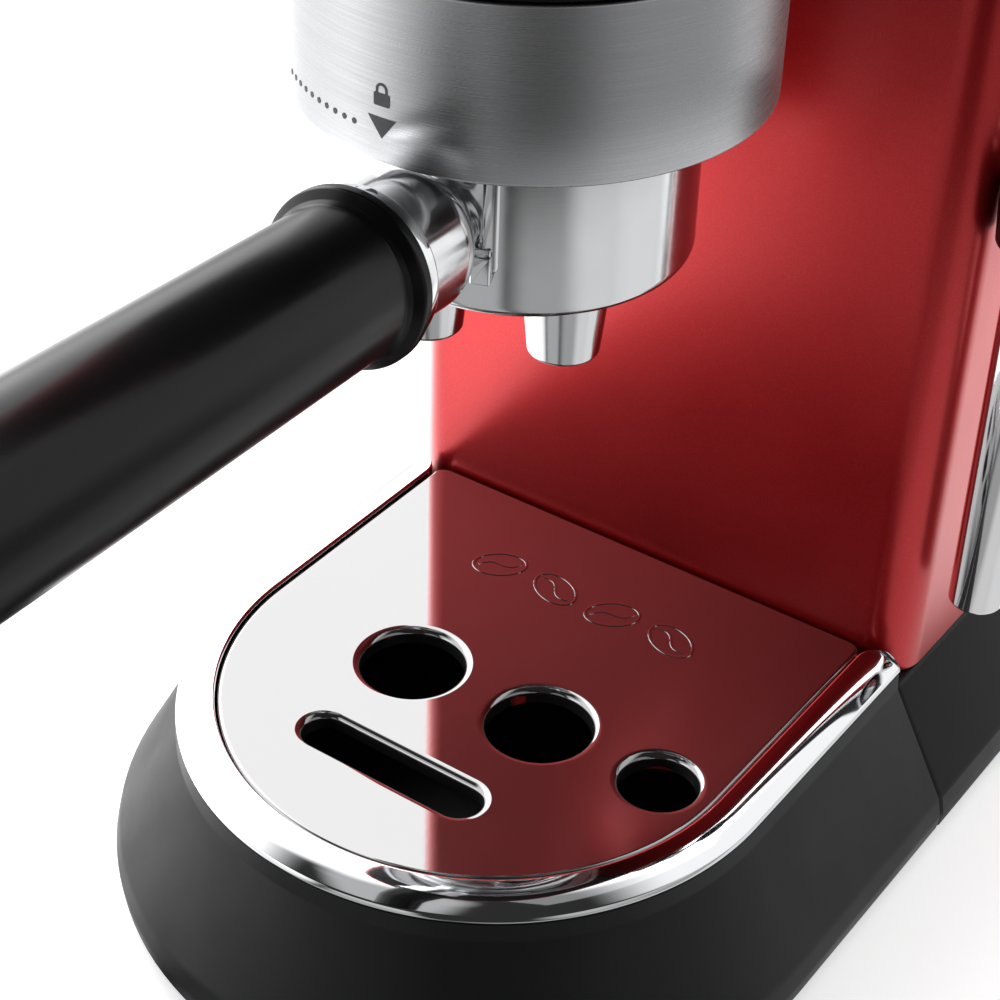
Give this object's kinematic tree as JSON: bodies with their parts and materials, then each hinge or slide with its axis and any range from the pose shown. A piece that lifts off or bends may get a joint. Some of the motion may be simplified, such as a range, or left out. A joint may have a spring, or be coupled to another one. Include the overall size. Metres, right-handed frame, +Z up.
{
  "type": "espresso machine",
  "caption": "Slim pump espresso machine with locking portafilter, pull-out drip tray with polished cup plate, lift-out tank and swinging steam wand.",
  "frame": {"origin": "on the counter, under the centre of the object's box", "axes": "+Z up, -Y towards the portafilter handle, +X the steam wand's side"},
  "size_m": [0.1532, 0.426, 0.303],
  "materials": {
    "black_plastic": "fine moulded grain",
    "floor_plastic": "moulded",
    "rubber": "matte",
    "fastener_steel": "plain",
    "red_paint": "satin metallic lacquer",
    "bracket_steel": "zinc plated",
    "band_steel": "brushed",
    "chrome": "polished",
    "button_plastic": "satin",
    "ring_steel": "circular brushed",
    "cast_dark": "as cast",
    "cast_bright": "polished casting",
    "block_alloy": "as cast",
    "pressed_steel": "polished",
    "plate_steel": "mirror polished stainless steel",
    "handle_plastic": "satin",
    "board": "laminate",
    "pump_plastic": "moulded",
    "coil": "wound coil in its case",
    "brass": "machined",
    "hose": "silicone",
    "piston_steel": "ground",
    "float_plastic": "moulded",
    "clear_plastic": "clear moulded",
    "valve_plastic": "moulded"
  },
  "bodies": {
    "housing": {"base_shell": "black_plastic", "head_underside": "black_plastic", "rear_spine": "black_plastic", "top_cover": "black_plastic", "tank_seat": "black_plastic", "wand_socket": "black_plastic", "bottom_plate": "floor_plastic", "base_feet": "rubber", "group_gasket": "rubber", "base_screws": "fastener_steel", "screen_screw": "fastener_steel", "column_skin": "red_paint", "head_shell": "red_paint", "inner_frame": "bracket_steel", "control_band": "band_steel", "cup_warmer": "band_steel", "button_rings": "chrome", "knob_ring": "chrome", "group_ring": "ring_steel", "group_head": "cast_dark", "thermoblock_lower": "block_alloy", "thermoblock_upper": "block_alloy", "shower_screen": "pressed_steel", "heating_element": "pressed_steel", "control_board": "board", "power_board": "board", "pump_housing": "pump_plastic", "pump_coil": "coil", "relief_valve": "brass", "steam_valve": "brass", "suction_hose": "hose", "outlet_hose": "hose", "switch_frame": "valve_plastic", "cord_inlet": "valve_plastic"},
    "one_cup": {"one_cup_button": "button_plastic"},
    "two_cup": {"two_cup_button": "button_plastic"},
    "steam_press": {"steam_button": "button_plastic"},
    "pump_slug": {"pump_piston": "piston_steel"},
    "knob": {"steam_knob": "button_plastic", "valve_spindle": "fastener_steel"},
    "wand": {"wand_ball": "chrome", "wand_tube": "chrome", "wand_grip": "handle_plastic"},
    "sleeve": {"frother_sleeve": "pressed_steel"},
    "portafilter": {"portafilter_bowl": "cast_bright", "filter_basket": "pressed_steel", "basket_spring": "fastener_steel", "twin_spout": "cast_bright", "neck_ring": "chrome", "handle_grip": "handle_plastic", "handle_bolt": "fastener_steel", "handle_cap": "handle_plastic"},
    "tray": {"tray_bowl": "black_plastic", "tray_trim": "chrome"},
    "plate": {"cup_plate": "plate_steel"},
    "float": {"tray_float": "float_plastic"},
    "tank": {"water_tank": "clear_plastic"},
    "lid": {"tank_lid": "black_plastic"},
    "valve": {"valve_plunger": "valve_plastic"},
    "rocker": {"power_rocker": "valve_plastic"}
  },
  "joints": [
    {"name": "portafilter_turn", "type": "hinge", "parent": "housing", "child": "portafilter", "pos_m": [-0.0021, -0.035, 0.152], "axis": [0, 0, 1], "range_deg": [-45, 0]},
    {"name": "tray_slide", "type": "slide", "parent": "housing", "child": "tray", "axis": [0, -1, 0], "range_m": [0, 0.13]},
    {"name": "plate_lift", "type": "slide", "parent": "tray", "child": "plate", "axis": [0, 0, 1], "range_m": [0, 0.04]},
    {"name": "float_rise", "type": "slide", "parent": "tray", "child": "float", "axis": [0, 0, 1], "range_m": [0, 0.013]},
    {"name": "one_cup_press", "type": "slide", "parent": "housing", "child": "one_cup", "axis": [0.5, 0.866, 0], "range_m": [0, 0.0015], "stiffness_N_per_m": 400},
    {"name": "two_cup_press", "type": "slide", "parent": "housing", "child": "two_cup", "axis": [0, 1, 0], "range_m": [0, 0.0015], "stiffness_N_per_m": 400},
    {"name": "steam_button_press", "type": "slide", "parent": "housing", "child": "steam_press", "axis": [-0.5, 0.866, 0], "range_m": [0, 0.0015], "stiffness_N_per_m": 400},
    {"name": "pump_stroke", "type": "slide", "parent": "housing", "child": "pump_slug", "axis": [0, 0, 1], "range_m": [-0.003, 0.003], "stiffness_N_per_m": 1500},
    {"name": "knob_turn", "type": "hinge", "parent": "housing", "child": "knob", "pos_m": [0.066, 0.04, 0.243], "axis": [1, 0, 0], "range_deg": [0, 270]},
    {"name": "wand_swing", "type": "hinge", "parent": "housing", "child": "wand", "pos_m": [0.0679, 0.023, 0.186], "axis": [0, -1, 0], "range_deg": [0, 35]},
    {"name": "sleeve_slide", "type": "slide", "parent": "wand", "child": "sleeve", "axis": [0, 0, -1], "range_m": [0, 0.006]},
    {"name": "tank_lift", "type": "slide", "parent": "housing", "child": "tank", "axis": [0, 0, 1], "range_m": [0, 0.2]},
    {"name": "lid_open", "type": "hinge", "parent": "tank", "child": "lid", "pos_m": [-0.0021, 0.2062, 0.298], "axis": [-1, 0, 0], "range_deg": [0, 95]},
    {"name": "valve_press", "type": "slide", "parent": "tank", "child": "valve", "axis": [0, 0, 1], "range_m": [0, 0.003], "stiffness_N_per_m": 200},
    {"name": "rocker_tilt", "type": "hinge", "parent": "housing", "child": "rocker", "pos_m": [-0.0381, 0.2095, 0.019], "axis": [1, 0, 0], "range_deg": [-10, 10]}
  ]
}
